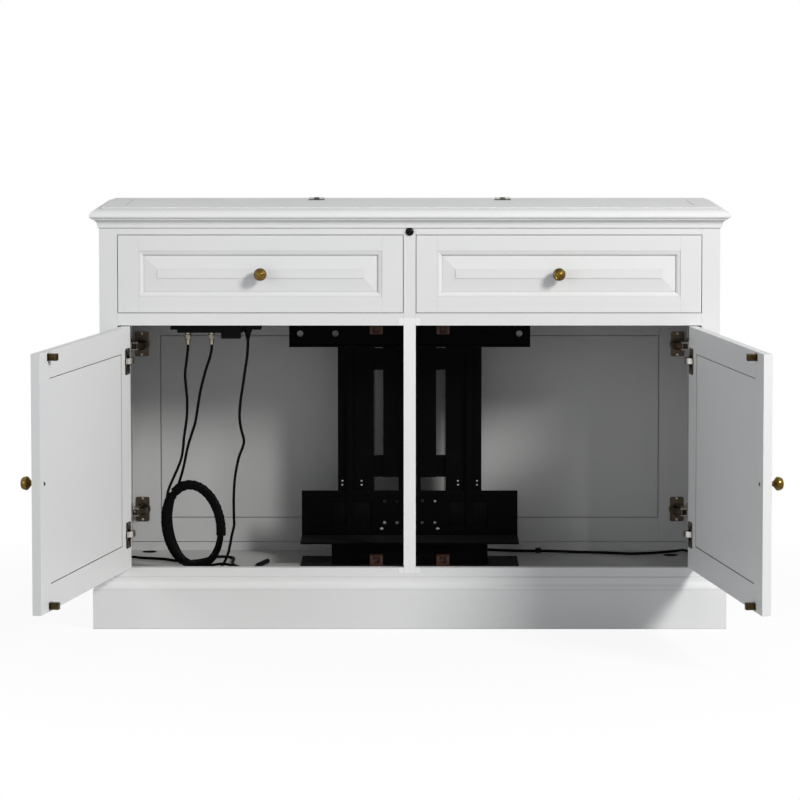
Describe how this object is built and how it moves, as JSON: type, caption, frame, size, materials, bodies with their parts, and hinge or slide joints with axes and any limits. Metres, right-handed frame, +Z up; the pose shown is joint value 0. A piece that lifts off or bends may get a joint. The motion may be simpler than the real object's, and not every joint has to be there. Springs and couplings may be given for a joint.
{
  "type": "screen lift console",
  "caption": "Painted media cabinet with front and rear doors, shallow drawers, and a powered lift that raises a flat screen through a hinged lid in its top.",
  "frame": {"origin": "on the ground at the centre of the case, on the underside of the plinth's bearer", "axes": "+X to the right as seen from the front, +Y from front to back, +Z up"},
  "size_m": [1.5251, 1.0194, 0.92],
  "materials": {
    "painted_case": "satin white lacquer on wood",
    "painted_doors": "satin white lacquer on wood",
    "drawer_wood": "clear satin lacquer",
    "bronze": "antique bronze plating",
    "nickel": "nickel plating",
    "knob_brass": "aged brass",
    "strike_brass": "brushed brass",
    "catch_plastic": "brown moulded plastic",
    "lid_hinge_steel": "dark satin",
    "lift_black": "black powder coat",
    "box_plastic": "black moulded plastic",
    "connector_nickel": "nickel plating",
    "eye_plastic": "dark gloss",
    "lead_rubber": "black cable jacket",
    "plug_plastic": "black moulded plastic"
  },
  "bodies": {
    "case": {"plinth": "painted_case", "base_moulding": "painted_case", "floor_board": "painted_case", "case_sides": "painted_case", "front_frame": "painted_case", "back_frame": "painted_case", "back_panels": "painted_case", "crown_moulding": "painted_case", "top_border": "painted_case", "drawer_deck": "painted_case", "bay_divider": "painted_case", "hinge_blocks": "painted_case", "hinge_arms": "nickel", "catch_bodies": "catch_plastic", "lid_hinge_leaves": "lid_hinge_steel", "lift_base_plate": "lift_black", "lift_actuator": "lift_black", "lift_columns": "lift_black", "control_box": "box_plastic", "box_connectors": "connector_nickel", "ir_eye": "eye_plastic", "lead_clip": "box_plastic", "motor_lead": "lead_rubber", "motor_lead_coil": "lead_rubber", "aux_lead": "lead_rubber", "mains_lead": "lead_rubber", "mains_lead_coil": "lead_rubber", "right_lead": "lead_rubber", "lead_plugs": "plug_plastic"},
    "left_door": {"left_door_frame": "painted_doors", "left_door_panel": "painted_doors", "left_door_hinges": "bronze", "left_door_strikes": "strike_brass", "left_door_knob": "knob_brass"},
    "left_links": {"left_door_links": "nickel"},
    "right_door": {"right_door_frame": "painted_doors", "right_door_panel": "painted_doors", "right_door_hinges": "bronze", "right_door_strikes": "strike_brass", "right_door_knob": "knob_brass"},
    "right_links": {"right_door_links": "nickel"},
    "rear_left": {"rear_left_door": "painted_doors", "rear_left_hinges": "bronze", "rear_left_knob": "knob_brass"},
    "rear_left_link_pair": {"rear_left_links": "nickel"},
    "rear_right": {"rear_right_door": "painted_doors", "rear_right_hinges": "bronze", "rear_right_knob": "knob_brass"},
    "rear_right_link_pair": {"rear_right_links": "nickel"},
    "left_drawer": {"left_drawer_front": "painted_doors", "left_drawer_box": "drawer_wood", "left_drawer_knob": "knob_brass"},
    "right_drawer": {"right_drawer_front": "painted_doors", "right_drawer_box": "drawer_wood", "right_drawer_knob": "knob_brass"},
    "lid": {"lid": "painted_doors", "lid_hinge_knuckles": "lid_hinge_steel"},
    "mast": {"lift_mast": "lift_black"},
    "carriage": {"lift_carriage": "lift_black", "lift_crossbar": "lift_black"}
  },
  "joints": [
    {"name": "left_door_swing", "type": "hinge", "parent": "case", "child": "left_door", "pos_m": [-0.6245, -0.193, 0.395], "axis": [0, 0, 1], "range_deg": [-2.6, 102.4]},
    {"name": "left_link_turn", "type": "hinge", "parent": "left_door", "child": "left_links", "pos_m": [-0.61003, -0.21103, 0.395], "axis": [0, 0, 1], "range_deg": [-102.4, 2.6]},
    {"name": "right_door_swing", "type": "hinge", "parent": "case", "child": "right_door", "pos_m": [0.6245, -0.193, 0.395], "axis": [0, 0, -1], "range_deg": [-5.7, 99.3]},
    {"name": "right_link_turn", "type": "hinge", "parent": "right_door", "child": "right_links", "pos_m": [0.60908, -0.21022, 0.395], "axis": [0, 0, -1], "range_deg": [-99.3, 5.7]},
    {"name": "rear_left_swing", "type": "hinge", "parent": "case", "child": "rear_left", "pos_m": [-0.6245, 0.193, 0.395], "axis": [0, 0, 1], "range_deg": [0, 105]},
    {"name": "rear_left_link_turn", "type": "hinge", "parent": "rear_left", "child": "rear_left_link_pair", "pos_m": [-0.61, 0.175, 0.395], "axis": [0, 0, 1], "range_deg": [-105, 0]},
    {"name": "rear_right_swing", "type": "hinge", "parent": "case", "child": "rear_right", "pos_m": [0.6245, 0.193, 0.395], "axis": [0, 0, -1], "range_deg": [0, 105]},
    {"name": "rear_right_link_turn", "type": "hinge", "parent": "rear_right", "child": "rear_right_link_pair", "pos_m": [0.61, 0.175, 0.395], "axis": [0, 0, -1], "range_deg": [-105, 0]},
    {"name": "left_drawer_slide", "type": "slide", "parent": "case", "child": "left_drawer", "axis": [0, -1, 0], "range_m": [0, 0.06]},
    {"name": "right_drawer_slide", "type": "slide", "parent": "case", "child": "right_drawer", "axis": [0, -1, 0], "range_m": [0, 0.06]},
    {"name": "lift_rise", "type": "slide", "parent": "case", "child": "mast", "axis": [0, 0, 1], "range_m": [0, 0.35]},
    {"name": "carriage_rise", "type": "slide", "parent": "mast", "child": "carriage", "axis": [0, 0, 1], "range_m": [0, 0.24]},
    {"name": "lid_swing", "type": "hinge", "parent": "case", "child": "lid", "pos_m": [0, 0.10925, 0.917], "axis": [-1, 0, 0], "range_deg": [0, 105]}
  ],
  "couplings": [
    {"joint": "left_link_turn", "follows": "left_door_swing", "ratio": -1},
    {"joint": "right_link_turn", "follows": "right_door_swing", "ratio": -1},
    {"joint": "rear_left_link_turn", "follows": "rear_left_swing", "ratio": -1},
    {"joint": "rear_right_link_turn", "follows": "rear_right_swing", "ratio": -1},
    {"joint": "carriage_rise", "follows": "lift_rise", "ratio": 0.6857},
    {"joint": "lid_swing", "follows": "lift_rise", "rad_per_m": 5.23}
  ]
}
